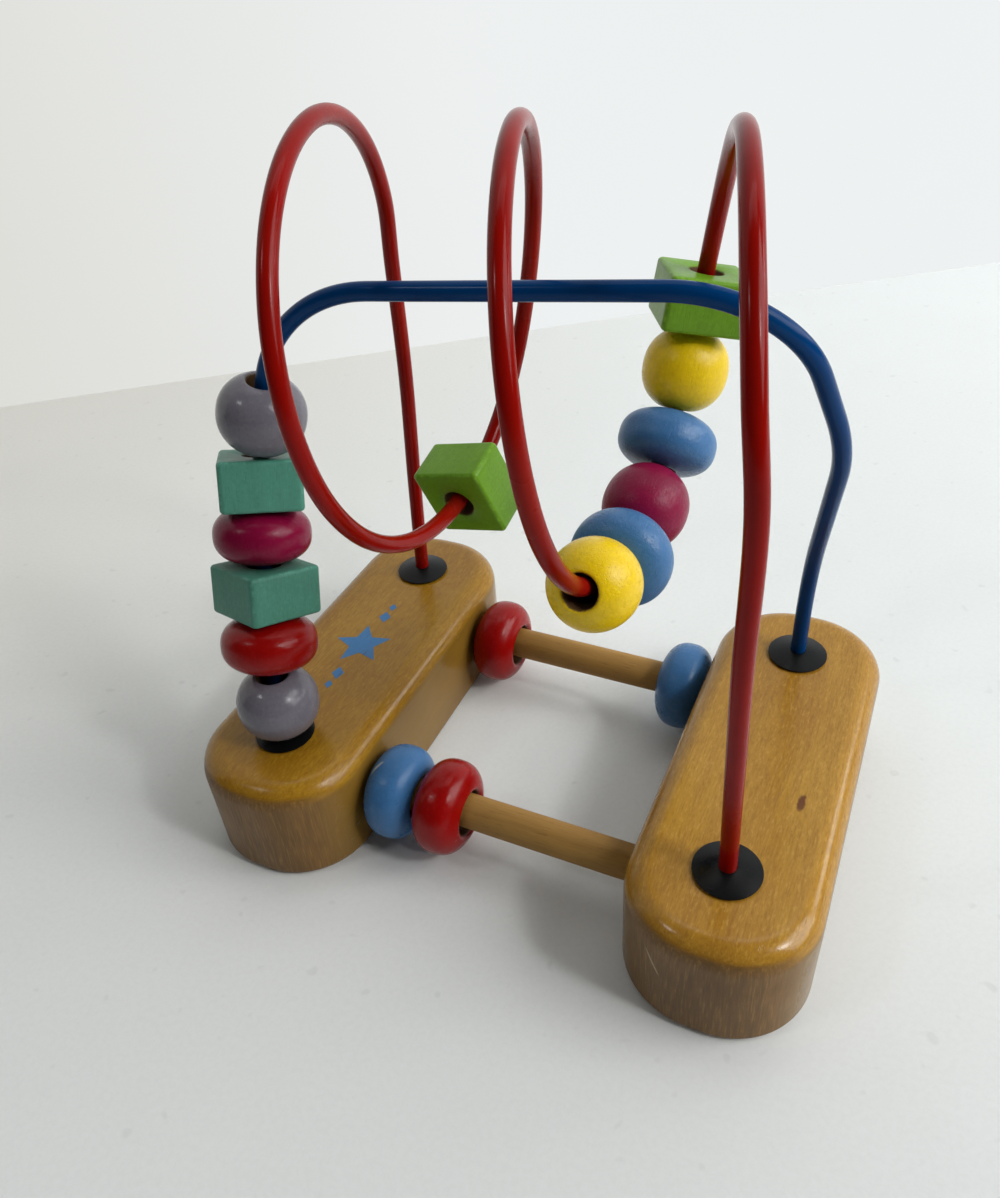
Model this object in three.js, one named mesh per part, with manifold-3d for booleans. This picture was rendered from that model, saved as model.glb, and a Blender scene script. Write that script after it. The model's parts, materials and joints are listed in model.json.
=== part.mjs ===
// Wooden bead maze: two blocks joined by two dowels, two bent wires, and beads that run on both.
// Millimetres, +Z up. X runs from the left block to the right one, Y from front to back,
// and the origin is on the table, midway between the blocks.

import * as THREE from "three";
import { mergeVertices } from "three/addons/utils/BufferGeometryUtils.js";
import Module from "manifold-3d";

const wasm = await Module();
wasm.setup();

// Blocks
const blockWidth = 45;
const blockLength = 122;
const blockHeight = 32;
const blockCornerRadius = 20.3;
const blockTopRound = 6.2;
const blockBottomRound = 2.5;
const blockSpacing = 119.5;

// Dowels
const dowelDiameter = 9.2;
const dowelInset = 27.5;
const dowelHeight = 16.3;
const dowelSocketDepth = 14;
const dowelEndChamfer = 0.8;

// Wires and their caps
const wireDiameter = 4.2;
const wireInset = 22;
const wireSocketDepth = 20;
const capDiameter = 15.8;
const capRim = 0.7;
const capShoulder = 1.3;
const capPeak = 2.2;
const capStemWall = 2;
const capStemLength = 6;

// Red coil: where it crosses the axis height, half a turn apart, from the back of the left end
const coilRadius = 45.3;
const coilHeight = 129.8;
const coilCrossings = [-59.7, -29.6, -19.7, 17.9, 24.7, 58.4];
const coilPointsPerHalfTurn = 8;
const legRise = [1 / 3, 2 / 3];
const legSpread = [0.38, 0.87];

// Blue arch: corner points between the two sockets, with the bend radius at each
const archCorners = [
  { at: new THREE.Vector3(-59.8, -38.4, 51.3), bend: 60 },
  { at: new THREE.Vector3(-69.5, -13.3, 98.7), bend: 61 },
  { at: new THREE.Vector3(-54.6, -12.6, 143.6), bend: 35 },
  { at: new THREE.Vector3(53.7, -5.2, 151.1), bend: 35 },
  { at: new THREE.Vector3(65.3, 14.6, 110.8), bend: 61 },
  { at: new THREE.Vector3(59.2, 41.4, 58.6), bend: 60 },
];

// Beads
const beadBoreSlack = 3.6;
const roundBeadDiameter = 20.9;
const roundBeadThickness = 19.3;
const lavenderBeadDiameter = 21.4;
const lavenderBeadThickness = 18.3;
const flatBeadDiameter = 24.4;
const flatBeadThickness = 14.2;
const squareBeadSide = 20;
const squareBeadThickness = 12.6;
const squareBeadEdge = 1.3;
const squareBeadCorner = 1.6;
const dowelBeadDiameter = 25.6;
const dowelBeadThickness = 14.3;
const dowelBeadBoreSlack = 2.8;
const roundBeadFullness = 2.2;
const flatBeadFullness = 2.5;

// Bead places: degrees round the coil, the way that the stacked beads lean, degrees that the square
// beads are rolled about their bores, and degrees that the rear one leans back from the wire
const loneBeadTurn = 286;
const trainStartTurn = 604.5;
const stackLean = [-0.08, 0.336, 0.938];
const standLean = 0.22;
const tealLowerRoll = -20;
const tealUpperRoll = 38;
const greenFrontRoll = -15;
const greenRearRoll = 27;
const greenRearLean = 7;

// Clearances
const faceGap = 0.3;
const fitGap = 0.25;
const beadGap = 0.3;
const standGap = 0.6;
const wedgeGap = 1.1;
const hangGap = 0.7;
const trainGap = 0.2;

// Roundness of the turned and swept solids
const wireSides = 10;
const redWireSteps = 150;
const blueWireSteps = 56;
const turnedSides = 20;
const boreSides = 16;
const dowelSides = 24;
const profileSteps = 9;

// Sizes that follow from those above
const blockX = blockSpacing / 2;
const innerFaceX = blockX - blockWidth / 2;
const wireRadius = wireDiameter / 2;
const dowelRadius = dowelDiameter / 2;
const wireY = blockLength / 2 - wireInset;
const dowelY = blockLength / 2 - dowelInset;
const beadBore = wireRadius + beadBoreSlack / 2;
const dowelBeadBore = dowelRadius + dowelBeadBoreSlack / 2;
const capBore = wireRadius + fitGap;
const capStemRadius = capBore + capStemWall;
const roundBeadHalf = roundBeadThickness / 2;
const lavenderBeadHalf = lavenderBeadThickness / 2;
const flatBeadHalf = flatBeadThickness / 2;
const squareBeadHalf = squareBeadThickness / 2;
const coilHalfTurns = coilCrossings.length - 1;
const coilDrift = new THREE.SplineCurve(coilCrossings.map((x, index) => new THREE.Vector2(index, x)));
const tangentStep = 0.01;
const xAxis = new THREE.Vector3(1, 0, 0);

// Finishes
const lacqueredWood = paint(0xc98f4a, 0.35);
const bareWood = paint(0xd9b98c, 0.7);
const redCoating = paint(0xb3161c, 0.25);
const blueCoating = paint(0x1c2f8c, 0.25);
const blackPlastic = paint(0x16161a, 0.45);
const lavender = paint(0x9c93b8, 0.45);
const red = paint(0xb32a2a, 0.45);
const teal = paint(0x2f9c96, 0.45);
const magenta = paint(0x96205e, 0.45);
const green = paint(0x3f8f2f, 0.45);
const yellow = paint(0xe0b92c, 0.45);
const blue = paint(0x3a63b0, 0.45);

function paint(color, roughness) {
  return new THREE.MeshStandardMaterial({ color, roughness, metalness: 0 });
}

// One closed solid from a geometry, for cutting
function solid(geometry) {
  const bare = geometry.clone();
  bare.deleteAttribute("normal");
  bare.deleteAttribute("uv");
  const merged = mergeVertices(bare, 1e-4);
  const vertProperties = Float32Array.from(merged.attributes.position.array);
  const triVerts = Uint32Array.from(merged.index.array);
  return new wasm.Manifold(new wasm.Mesh({ numProp: 3, vertProperties, triVerts }));
}

// A geometry with other geometries cut out of it
function cut(geometry, tools) {
  const result = tools.reduce((body, tool) => body.subtract(solid(tool)), solid(geometry)).getMesh();
  const out = new THREE.BufferGeometry();
  out.setAttribute("position", new THREE.BufferAttribute(Float32Array.from(result.vertProperties), 3));
  out.setIndex(new THREE.BufferAttribute(Uint32Array.from(result.triVerts), 1));
  const faceted = out.toNonIndexed();
  faceted.computeVertexNormals();
  return faceted;
}

// Points of a rounded rectangle, anticlockwise, at one height
function roundedRing(width, length, corner, z, cornerSteps) {
  const points = [];
  for (let side = 0; side < 4; side += 1) {
    const signX = side === 0 || side === 3 ? 1 : -1;
    const signY = side < 2 ? 1 : -1;
    for (let step = 0; step <= cornerSteps; step += 1) {
      const angle = ((side + step / cornerSteps) * Math.PI) / 2;
      const x = signX * (width / 2 - corner) + corner * Math.cos(angle);
      const y = signY * (length / 2 - corner) + corner * Math.sin(angle);
      points.push(new THREE.Vector3(x, y, z));
    }
  }
  return points;
}

// A block with rounded upright corners and rounded bottom and top edges, standing on z = 0
function roundedBlock({ width, length, height, corner, bottomRound, topRound, cornerSteps, edgeSteps }) {
  const rings = [];
  for (let step = 0; step <= edgeSteps; step += 1) {
    const angle = (step / edgeSteps) * (Math.PI / 2);
    const inset = bottomRound * (1 - Math.sin(angle));
    const z = bottomRound * (1 - Math.cos(angle));
    rings.push(roundedRing(width - 2 * inset, length - 2 * inset, corner - inset, z, cornerSteps));
  }
  for (let step = 0; step <= edgeSteps; step += 1) {
    const angle = (step / edgeSteps) * (Math.PI / 2);
    const inset = topRound * (1 - Math.cos(angle));
    const z = height - topRound * (1 - Math.sin(angle));
    rings.push(roundedRing(width - 2 * inset, length - 2 * inset, corner - inset, z, cornerSteps));
  }
  return loft(rings);
}

// A closed skin over convex rings that all have the same number of points
function loft(rings) {
  const count = rings[0].length;
  const positions = rings.flat().flatMap((point) => point.toArray());
  const index = [];
  for (let ring = 0; ring + 1 < rings.length; ring += 1) {
    for (let i = 0; i < count; i += 1) {
      const a = ring * count + i;
      const b = ring * count + ((i + 1) % count);
      index.push(a, b, b + count, a, b + count, a + count);
    }
  }
  const top = (rings.length - 1) * count;
  for (let i = 1; i + 1 < count; i += 1) {
    index.push(0, i + 1, i);
    index.push(top, top + i, top + i + 1);
  }
  const geometry = new THREE.BufferGeometry();
  geometry.setAttribute("position", new THREE.Float32BufferAttribute(positions, 3));
  geometry.setIndex(index);
  const faceted = geometry.toNonIndexed();
  faceted.computeVertexNormals();
  return faceted;
}

// A turned solid about Z from [radius, height] points
function turned(profile, sides) {
  const geometry = new THREE.LatheGeometry(
    profile.map(([radius, height]) => new THREE.Vector2(radius, height)),
    sides,
  );
  return geometry.rotateX(Math.PI / 2);
}

// A round rod along Z, from one height to another
function rod(radius, from, to, sides) {
  return turned([[0, from], [radius, from], [radius, to], [0, to]], sides);
}

// A turned bead with a straight bore: its outside runs from mouth to mouth on a superellipse,
// where a fullness of 2 is an ellipse and more is squarer
function turnedBead(diameter, half, bore, fullness) {
  const radius = diameter / 2;
  const share = 1 - (bore / radius) ** fullness;
  const reach = half / share ** (1 / fullness);
  const mouth = Math.asin(Math.sqrt(share));
  const profile = [];
  for (let step = 0; step <= profileSteps; step += 1) {
    const angle = mouth * ((2 * step) / profileSteps - 1);
    const height = reach * Math.abs(Math.sin(angle)) ** (2 / fullness);
    profile.push([radius * Math.cos(angle) ** (2 / fullness), Math.sign(angle) * height]);
  }
  profile.push(profile[0]);
  return turned(profile, turnedSides);
}

// A square bead with softened edges and a straight bore through its faces
function squareBead() {
  const body = roundedBlock({
    width: squareBeadSide,
    length: squareBeadSide,
    height: squareBeadThickness,
    corner: squareBeadCorner,
    bottomRound: squareBeadEdge,
    topRound: squareBeadEdge,
    cornerSteps: 2,
    edgeSteps: 2,
  });
  body.translate(0, 0, -squareBeadHalf);
  return cut(body, [rod(beadBore, -squareBeadThickness, squareBeadThickness, boreSides)]);
}

// A wire swept round a route
function wire(route, steps) {
  const section = new THREE.Shape().absarc(0, 0, wireRadius, 0, 2 * Math.PI);
  return new THREE.ExtrudeGeometry(section, { curveSegments: wireSides / 2, steps, extrudePath: route });
}

// An arc that rounds the corner between two straight runs
class Bend extends THREE.Curve {
  constructor(corner, from, to, radius) {
    super();
    const inward = from.clone().sub(corner).normalize();
    const outward = to.clone().sub(corner).normalize();
    const halfAngle = inward.angleTo(outward) / 2;
    const reach = Math.min(radius / Math.tan(halfAngle), from.distanceTo(corner), to.distanceTo(corner));
    this.radius = reach * Math.tan(halfAngle);
    this.start = corner.clone().addScaledVector(inward, reach);
    this.end = corner.clone().addScaledVector(outward, reach);
    const middle = inward.clone().add(outward).normalize();
    this.centre = corner.clone().addScaledVector(middle, this.radius / Math.sin(halfAngle));
    this.sweep = Math.PI - 2 * halfAngle;
    this.ahead = inward.clone().negate();
  }

  getPoint(t, target = new THREE.Vector3()) {
    const angle = this.sweep * t;
    const arm = this.start.clone().sub(this.centre);
    return target.copy(this.centre)
      .addScaledVector(arm, Math.cos(angle))
      .addScaledVector(this.ahead, this.radius * Math.sin(angle));
  }
}

// A point round the coil at a turn in radians, on a circle of the given radius about the coil's axis
function coilPoint(turn, radius) {
  const x = coilDrift.getPoint(turn / (coilHalfTurns * Math.PI)).y;
  return new THREE.Vector3(x, radius * Math.cos(turn), coilHeight + radius * Math.sin(turn));
}

// Red route: up from the rear left socket, round the coil, and down to the front right one
function redRoute() {
  const coil = [];
  for (let step = 0; step <= coilHalfTurns * coilPointsPerHalfTurn; step += 1) {
    coil.push(coilPoint((step / coilPointsPerHalfTurn) * Math.PI, coilRadius));
  }
  const climb = leg(-blockX, wireY, coil[0]);
  const descent = leg(blockX, -wireY, coil[coil.length - 1]).reverse();
  const route = new THREE.CatmullRomCurve3([...climb, ...coil, ...descent], false, "centripetal");
  route.arcLengthDivisions = 1200;
  return route;
}

// Points of a coil's leg, from the socket's bottom up to just below the coil
function leg(socketX, socketY, coilEnd) {
  const foot = new THREE.Vector3(socketX, socketY, blockHeight);
  const points = [foot.clone().setZ(blockHeight - wireSocketDepth), foot];
  legRise.forEach((rise, index) => {
    const point = foot.clone().lerp(coilEnd, rise);
    point.y = THREE.MathUtils.lerp(foot.y, coilEnd.y, legSpread[index]);
    points.push(point);
  });
  return points;
}

// Blue route: straight runs with round bends, from the front left socket to the rear right one
function blueRoute() {
  const leftFoot = new THREE.Vector3(-blockX, -wireY, blockHeight);
  const rightFoot = new THREE.Vector3(blockX, wireY, blockHeight);
  const corners = [leftFoot, ...archCorners.map((corner) => corner.at), rightFoot];
  const route = new THREE.CurvePath();
  let from = leftFoot.clone().setZ(blockHeight - wireSocketDepth);
  route.add(new THREE.LineCurve3(from, leftFoot));
  from = leftFoot;
  archCorners.forEach((corner, index) => {
    const before = corners[index];
    const after = corners[index + 2];
    const runIn = index === 0 ? before : before.clone().lerp(corner.at, 0.5);
    const runOut = index === archCorners.length - 1 ? after : after.clone().lerp(corner.at, 0.5);
    const bend = new Bend(corner.at, runIn, runOut, corner.bend);
    if (from.distanceTo(bend.start) > fitGap) {
      route.add(new THREE.LineCurve3(from, bend.start));
    }
    route.add(bend);
    from = bend.end;
  });
  route.add(new THREE.LineCurve3(from, rightFoot));
  route.add(new THREE.LineCurve3(rightFoot, rightFoot.clone().setZ(blockHeight - wireSocketDepth)));
  route.arcLengthDivisions = 1200;
  return route;
}

// A placed mesh, with its bore along the wire and rolled about it
function threaded(name, geometry, material, centre, along, roll) {
  const across = xAxis.clone().projectOnPlane(along).normalize();
  across.applyAxisAngle(along, THREE.MathUtils.degToRad(roll));
  const basis = new THREE.Matrix4().makeBasis(across, along.clone().cross(across), along);
  const mesh = placed(name, geometry, material);
  mesh.quaternion.setFromRotationMatrix(basis);
  mesh.position.copy(centre);
  return mesh;
}

function placed(name, geometry, material, x = 0, y = 0, z = 0) {
  const mesh = new THREE.Mesh(geometry, material);
  mesh.name = name;
  mesh.position.set(x, y, z);
  return mesh;
}

const part = new THREE.Group();
part.name = "bead_maze";

// Blocks, each with two dowel sockets in its inner face and two stepped wire sockets in its top
for (const [name, side] of [["left_block", -1], ["right_block", 1]]) {
  const body = roundedBlock({
    width: blockWidth,
    length: blockLength,
    height: blockHeight,
    corner: blockCornerRadius,
    bottomRound: blockBottomRound,
    topRound: blockTopRound,
    cornerSteps: 7,
    edgeSteps: 4,
  });
  const tools = [];
  for (const end of [-1, 1]) {
    const dowelSocket = rod(dowelRadius + fitGap, -dowelSocketDepth, dowelSocketDepth, boreSides);
    dowelSocket.rotateY(Math.PI / 2);
    tools.push(dowelSocket.translate((-side * blockWidth) / 2, end * dowelY, dowelHeight));
    const wireSocketFloor = blockHeight - wireSocketDepth - faceGap;
    tools.push(rod(capBore, wireSocketFloor, blockHeight + 1, boreSides).translate(0, end * wireY, 0));
    const stemSocketFloor = blockHeight - capStemLength - faceGap;
    tools.push(rod(capStemRadius + fitGap, stemSocketFloor, blockHeight + 1, boreSides).translate(0, end * wireY, 0));
  }
  part.add(placed(name, cut(body, tools), lacqueredWood, side * blockX));
}

// Dowels, let into both blocks
const dowelHalf = innerFaceX + dowelSocketDepth - faceGap;
const dowelTip = dowelRadius - dowelEndChamfer;
for (const [name, end] of [["front_dowel", -1], ["rear_dowel", 1]]) {
  const profile = [
    [0, -dowelHalf],
    [dowelTip, -dowelHalf],
    [dowelRadius, dowelEndChamfer - dowelHalf],
    [dowelRadius, dowelHalf - dowelEndChamfer],
    [dowelTip, dowelHalf],
    [0, dowelHalf],
  ];
  part.add(placed(name, turned(profile, dowelSides).rotateY(Math.PI / 2), bareWood, 0, end * dowelY, dowelHeight));
}

// Wires
const redWire = redRoute();
const blueWire = blueRoute();
part.add(placed("red_wire", wire(redWire, redWireSteps), redCoating));
part.add(placed("blue_wire", wire(blueWire, blueWireSteps), blueCoating));

// Caps: a shallow dome on a stem that plugs the wire into the block
const capRadius = capDiameter / 2;
const capProfile = [
  [capBore, -capStemLength],
  [capStemRadius, -capStemLength],
  [capStemRadius, faceGap],
  [capRadius, faceGap],
  [capRadius, capRim],
  [(capRadius + beadBore) / 2, THREE.MathUtils.lerp(capRim, capShoulder, 0.6)],
  [beadBore, capShoulder],
  [capBore, capPeak],
  [capBore, -capStemLength],
];
for (const [name, side, end] of [
  ["front_left_cap", -1, -1],
  ["rear_left_cap", -1, 1],
  ["front_right_cap", 1, -1],
  ["rear_right_cap", 1, 1],
]) {
  part.add(placed(name, turned(capProfile, turnedSides), blackPlastic, side * blockX, end * wireY, blockHeight));
}

const roundBead = turnedBead(roundBeadDiameter, roundBeadHalf, beadBore, roundBeadFullness);
const lavenderBead = turnedBead(lavenderBeadDiameter, lavenderBeadHalf, beadBore, roundBeadFullness);
const flatBead = turnedBead(flatBeadDiameter, flatBeadHalf, beadBore, flatBeadFullness);
const blockBead = squareBead();

// Stack on the blue wire: the lowest bead stands on its cap, the next four lean together,
// and the top one follows the wire
const leaning = new THREE.Vector3(...stackLean).normalize();
const standing = new THREE.Vector3(0, 0, 1).lerp(leaning, standLean).normalize();
const stack = [
  { name: "lavender_bead_lower", geometry: lavenderBead, half: lavenderBeadHalf, material: lavender,
    axis: standing, gap: standGap },
  { name: "red_bead", geometry: flatBead, half: flatBeadHalf, material: red, axis: leaning, gap: wedgeGap },
  { name: "teal_block_lower", geometry: blockBead, half: squareBeadHalf, material: teal, axis: leaning,
    roll: tealLowerRoll },
  { name: "magenta_bead_flat", geometry: flatBead, half: flatBeadHalf, material: magenta, axis: leaning },
  { name: "teal_block_upper", geometry: blockBead, half: squareBeadHalf, material: teal, axis: leaning,
    roll: tealUpperRoll },
  { name: "lavender_bead_upper", geometry: lavenderBead, half: lavenderBeadHalf, material: lavender,
    gap: wedgeGap },
];

// Share of the blue wire's length at which it has climbed to a height along an axis
function climbTo(height, axis) {
  let low = 0;
  let high = 0.5;
  for (let step = 0; step < 40; step++) {
    const middle = (low + high) / 2;
    if (blueWire.getPointAt(middle).dot(axis) < height) {
      low = middle;
    } else {
      high = middle;
    }
  }
  return low;
}

const seat = new THREE.Vector3(-blockX, -wireY, blockHeight + capShoulder);
for (const { name, geometry, half, material, axis, roll = 0, gap = beadGap } of stack) {
  const way = axis ?? leaning;
  const u = climbTo(seat.dot(way) + gap + half, way);
  const centre = blueWire.getPointAt(u);
  part.add(threaded(name, geometry, material, centre, axis ?? blueWire.getTangentAt(u), roll));
  seat.copy(centre).addScaledVector(way, half);
}

// Beads on the coil hang from the wire inside their bores; one that leans stays centred on the wire
function hung(bead, degrees, lean = 0) {
  const turn = THREE.MathUtils.degToRad(degrees);
  const centre = coilPoint(turn, coilRadius + (lean > 0 ? 0 : hang(bead.half)));
  const facing = turn - THREE.MathUtils.degToRad(lean);
  const ahead = coilPoint(facing + tangentStep, coilRadius);
  const along = ahead.sub(coilPoint(facing - tangentStep, coilRadius)).normalize();
  return threaded(bead.name, bead.geometry, bead.material, centre, along, bead.roll);
}

// How far a bead's axis drops below the wire's before the bore rests on the curved wire
function hang(half) {
  const sag = half ** 2 / (2 * coilRadius);
  return Math.max(0, beadBoreSlack / 2 - sag - hangGap);
}

part.add(hung(
  { name: "green_block_front", geometry: blockBead, half: squareBeadHalf, material: green, roll: greenFrontRoll },
  loneBeadTurn,
));

// Train on the second low arc, each bead against the next, from the front one up to the rear block
const train = [
  { name: "yellow_bead_lower", geometry: roundBead, half: roundBeadHalf, material: yellow, roll: 0 },
  { name: "blue_bead_lower", geometry: flatBead, half: flatBeadHalf, material: blue, roll: 0 },
  { name: "magenta_bead_round", geometry: roundBead, half: roundBeadHalf, material: magenta, roll: 0 },
  { name: "blue_bead_upper", geometry: flatBead, half: flatBeadHalf, material: blue, roll: 0 },
  { name: "yellow_bead_upper", geometry: roundBead, half: roundBeadHalf, material: yellow, roll: 0 },
  { name: "green_block_rear", geometry: blockBead, half: squareBeadHalf, material: green, roll: greenRearRoll,
    lean: greenRearLean },
];
let trainTurn = trainStartTurn;
train.forEach((bead, index) => {
  if (index > 0) {
    trainTurn += halfTurnOf(train[index - 1].half) + halfTurnOf(bead.half);
  }
  part.add(hung(bead, trainTurn, bead.lean));
});

// Degrees of the coil that half a bead takes up, measured at the inner side of its mouth
function halfTurnOf(half) {
  const mouthRadius = coilRadius + hang(half) - beadBore;
  return THREE.MathUtils.radToDeg(Math.atan2(half + trainGap / 2, mouthRadius));
}

// Beads on the dowels hang from them inside their bores, pushed up to the blocks
const dowelBeadHalf = dowelBeadThickness / 2;
const dowelBead = turnedBead(dowelBeadDiameter, dowelBeadHalf, dowelBeadBore, flatBeadFullness);
dowelBead.rotateY(Math.PI / 2);
const dowelBeadZ = dowelHeight - dowelBeadBoreSlack / 2 + faceGap;
const endBeadX = innerFaceX - faceGap - dowelBeadHalf;
const secondBeadX = endBeadX - dowelBeadThickness - faceGap;
for (const [name, material, x, end] of [
  ["front_dowel_bead_blue", blue, -endBeadX, -1],
  ["front_dowel_bead_red", red, -secondBeadX, -1],
  ["rear_dowel_bead_red", red, -endBeadX, 1],
  ["rear_dowel_bead_blue", blue, endBeadX, 1],
]) {
  part.add(placed(name, dowelBead, material, x, end * dowelY, dowelBeadZ));
}

export default part;
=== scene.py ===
"""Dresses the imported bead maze: lacquered blocks, bare dowels, coated wires, painted beads and plastic caps.

Shapes are drawn in millimetres in the part's own frame and turned into metres when a piece is made.
"""

import json
import math

import bpy
import numpy as np
from mathutils import Matrix, Vector


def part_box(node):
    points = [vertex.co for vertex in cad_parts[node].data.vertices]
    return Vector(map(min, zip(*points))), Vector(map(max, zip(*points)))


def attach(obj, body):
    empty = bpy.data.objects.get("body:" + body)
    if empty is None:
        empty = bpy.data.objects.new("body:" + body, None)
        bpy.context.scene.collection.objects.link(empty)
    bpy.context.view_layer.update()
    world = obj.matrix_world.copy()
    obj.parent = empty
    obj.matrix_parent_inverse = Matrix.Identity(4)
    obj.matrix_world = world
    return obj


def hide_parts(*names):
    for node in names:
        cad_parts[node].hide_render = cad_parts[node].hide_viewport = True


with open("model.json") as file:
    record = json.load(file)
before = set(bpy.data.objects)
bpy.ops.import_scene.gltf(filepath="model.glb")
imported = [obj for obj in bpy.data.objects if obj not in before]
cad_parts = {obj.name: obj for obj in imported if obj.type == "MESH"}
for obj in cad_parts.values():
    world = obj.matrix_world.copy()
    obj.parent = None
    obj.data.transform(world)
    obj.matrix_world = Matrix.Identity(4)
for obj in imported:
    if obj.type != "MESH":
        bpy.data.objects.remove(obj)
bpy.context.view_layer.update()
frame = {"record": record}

MM = 0.001

# Blocks, drawn a hair inside the solids
BLOCK_WIDTH = 45
BLOCK_LENGTH = 122
BLOCK_HEIGHT = 32
BLOCK_CORNER = 20.3
BLOCK_TOP_ROUND = 6.2
BLOCK_BOTTOM_ROUND = 2.5
BLOCK_FLAT_BORDER = 1
BLOCK_INSET = 0.01
BLOCK_SPACING = 119.5
BLOCK_X = BLOCK_SPACING / 2

# Dowels
DOWEL_DIAMETER = 9.2
DOWEL_END_CHAMFER = 0.8

# Wires, drawn a hair inside the solids, and caps, with the bore as a radius
WIRE_DIAMETER = 4.2
WIRE_INSET = 0.02
WIRE_Y = 39
WIRE_SOCKET_DEPTH = 20
CAP_DIAMETER = 15.8
CAP_RIM = 0.7
CAP_EDGE = 0.25
CAP_SHOULDER = 1.3
CAP_PEAK = 2.2
CAP_FULLNESS = 1.35
CAP_SEAT = 0.3
CAP_STEM_RADIUS = 4.3
CAP_STEM_LENGTH = 6
CAP_BORE = 2.13

# Red coil: where it crosses its axis height, half a turn apart, and how its legs leave the sockets
COIL_RADIUS = 45.3
COIL_HEIGHT = 129.8
COIL_CROSSINGS = [-59.7, -29.6, -19.7, 17.9, 24.7, 58.4]
COIL_POINTS_PER_HALF_TURN = 8
LEG_RISE = [1 / 3, 2 / 3]
LEG_SPREAD = [0.38, 0.87]

# Blue arch: corner points between its sockets, with the bend radius at each
ARCH_CORNERS = [
    ((-59.8, -38.4, 51.3), 60),
    ((-69.5, -13.3, 98.7), 61),
    ((-54.6, -12.6, 143.6), 35),
    ((53.7, -5.2, 151.1), 35),
    ((65.3, 14.6, 110.8), 61),
    ((59.2, 41.4, 58.6), 60),
]

# Beads, with bores as radii
BEAD_BORE = 3.9
ROUND_BEAD = {"diameter": 20.9, "thickness": 19.3, "bore": BEAD_BORE, "fullness": 2.2, "mouth": 0.7}
LAVENDER_BEAD = {"diameter": 21.4, "thickness": 18.3, "bore": BEAD_BORE, "fullness": 2.2, "mouth": 0.7}
FLAT_BEAD = {"diameter": 24.4, "thickness": 14.2, "bore": BEAD_BORE, "fullness": 2.5, "mouth": 0.7}
DOWEL_BEAD = {"diameter": 25.6, "thickness": 14.3, "bore": 6.0, "fullness": 2.5, "mouth": 1.4}
SQUARE_SIDE = 20
SQUARE_THICKNESS = 12.6
SQUARE_EDGE = 1.0
SQUARE_CORNER = 1.4
SQUARE_MOUTH = 0.5

# Ways that beads lean: the stacked ones together, the lowest of them by a share of that,
# and the rear green block back from its wire, in degrees
STACK_LEAN = (-0.08, 0.336, 0.938)
STAND_LEAN = 0.22
GREEN_REAR_LEAN = 7

# Print on the left block: a star turned by some degrees, and pairs of diamonds given by
# their distance from its middle and their reach, with their width as a share of that reach
PRINT_CENTRE = (-59.3, 0)
PRINT_TURN = 18
PRINT_LIFT = 0.04
STAR_POINTS = 5
STAR_REACH = 8.6
STAR_NOTCH = 3.9
DIAMONDS = [(13.5, 2.6), (18.5, 1.7)]
DIAMOND_WIDTH = 0.7

# Marks of use: a knot in metres, a patch of painted shade in metres on the wire where it runs between
# the stacked beads, and scratches in millimetres, which run over their ends by a factor
KNOT_CENTRE = (0.0710, -0.0135, 0.0320)
KNOT_REACH = (0.0010, 0.0031, 0.0040)
WIRE_PAINTED_SHADE_CENTRE = (-0.0608, -0.0362, 0.0515)
WIRE_PAINTED_SHADE_REACH = (0.008, 0.008, 0.008)
BLOCK_SCRATCH = [(46.9, -58.0, 23.3), (51.4, -60.0, 15.7)]
BEAD_SCRATCH = [(-9.96, -5.01, -4.66), (-12.45, -1.61, -2.25)]
SCRATCH_WIDTH = 0.4
SCRATCH_DEPTH = 0.8
SCRATCH_OVERRUN = 1.1

# Fineness of the shapes: steps along rounds and sides, sides round an axis, and points along wires
BLOCK_ROUND_STEPS = 12
BLOCK_CORNER_STEPS = 20
BLOCK_SIDE_STEPS = 12
DOWEL_SIDES = 48
WIRE_SIDES = 20
COIL_STEPS = 9
BEND_POINTS = 24
ARCH_SPACING = 1.6
CAP_DOME_STEPS = 16
CAP_SIDES = 56
BEAD_PROFILE_STEPS = 40
BEAD_MOUTH_STEPS = 6
BEAD_SIDES = 64
SQUARE_ROUND_STEPS = 5
SQUARE_CORNER_STEPS = 6
SQUARE_SIDE_STEPS = 14

# Angles in degrees past which an edge stays sharp
CREASE = 50
CAP_CREASE = 35


# Shapes


def skin(rings, closed=False):
    """Vertices and faces through rings of equal length; open ends are capped."""
    count = len(rings[0])
    vertices = [tuple(point) for ring in rings for point in ring]
    faces = []
    spans = len(rings) if closed else len(rings) - 1
    for ring in range(spans):
        low = ring * count
        high = ((ring + 1) % len(rings)) * count
        for i in range(count):
            j = (i + 1) % count
            faces.append((low + i, low + j, high + j, high + i))
    if not closed:
        faces.append(tuple(reversed(range(count))))
        faces.append(tuple(range((len(rings) - 1) * count, len(rings) * count)))
    return vertices, faces


def circle(radius, height, sides):
    """Points of a circle about Z."""
    turns = [2 * math.pi * i / sides for i in range(sides)]
    return [(radius * math.cos(t), radius * math.sin(t), height) for t in turns]


def turned(profile, sides, closed):
    """A turned solid about Z from (radius, height) points."""
    return skin([circle(radius, height, sides) for radius, height in profile], closed)


def quarter_round(radius, steps):
    """Pairs of inset and rise along a quarter round, from a flat face out to a side."""
    angles = [step / steps * math.pi / 2 for step in range(steps + 1)]
    return [(radius * (1 - math.sin(a)), radius * (1 - math.cos(a))) for a in angles]


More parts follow.
